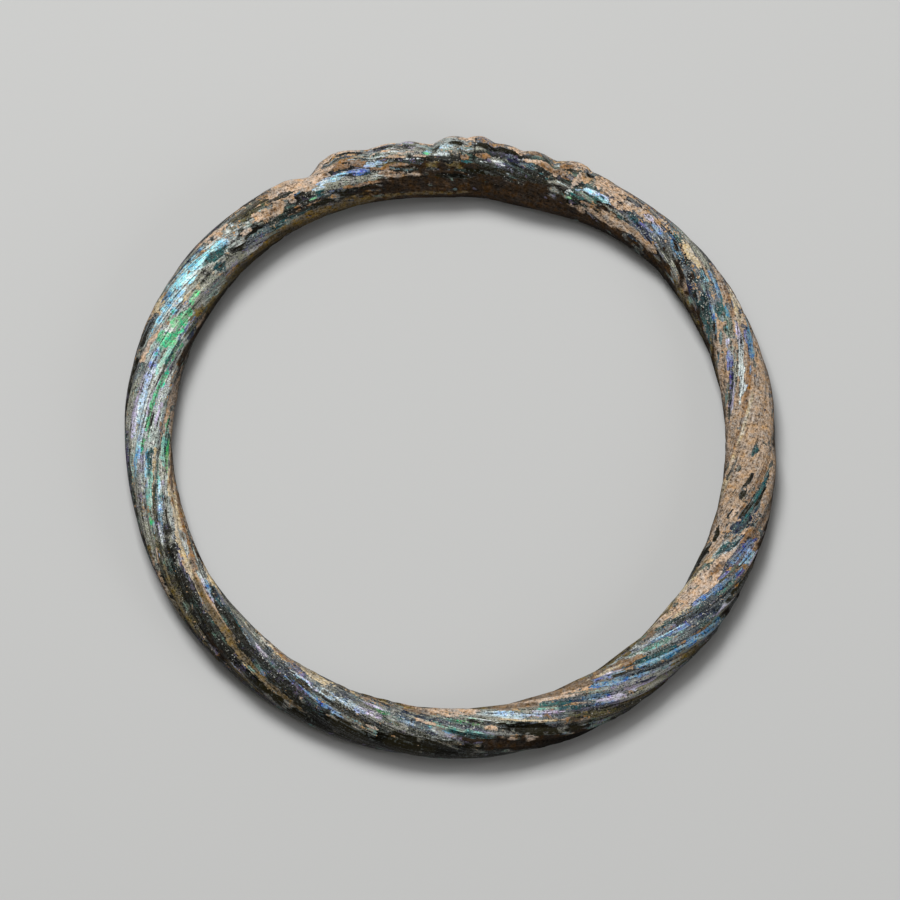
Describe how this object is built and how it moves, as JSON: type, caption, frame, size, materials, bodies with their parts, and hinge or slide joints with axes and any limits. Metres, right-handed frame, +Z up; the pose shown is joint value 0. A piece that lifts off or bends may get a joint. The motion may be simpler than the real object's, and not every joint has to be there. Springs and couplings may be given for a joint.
{
  "type": "glass bracelet",
  "caption": "Ancient twisted glass bangle in dark iridescent glass, a ribbed rod bent into a ring with a lumpy pinched joint, worn round the wrist and shown lying flat",
  "frame": {"origin": "on the surface it lies on, under the middle of its outline", "axes": "+Z up, through the ring; +Y toward the pinched joint; +X to the right of the joint seen from above"},
  "size_m": [0.0756, 0.0754, 0.0061],
  "materials": {
    "weathered_glass": "dark glass, nearly opaque, under iridescent weathering film and tan soil crust"
  },
  "bodies": {
    "root": {"bracelet": "weathered_glass"}
  },
  "joints": []
}
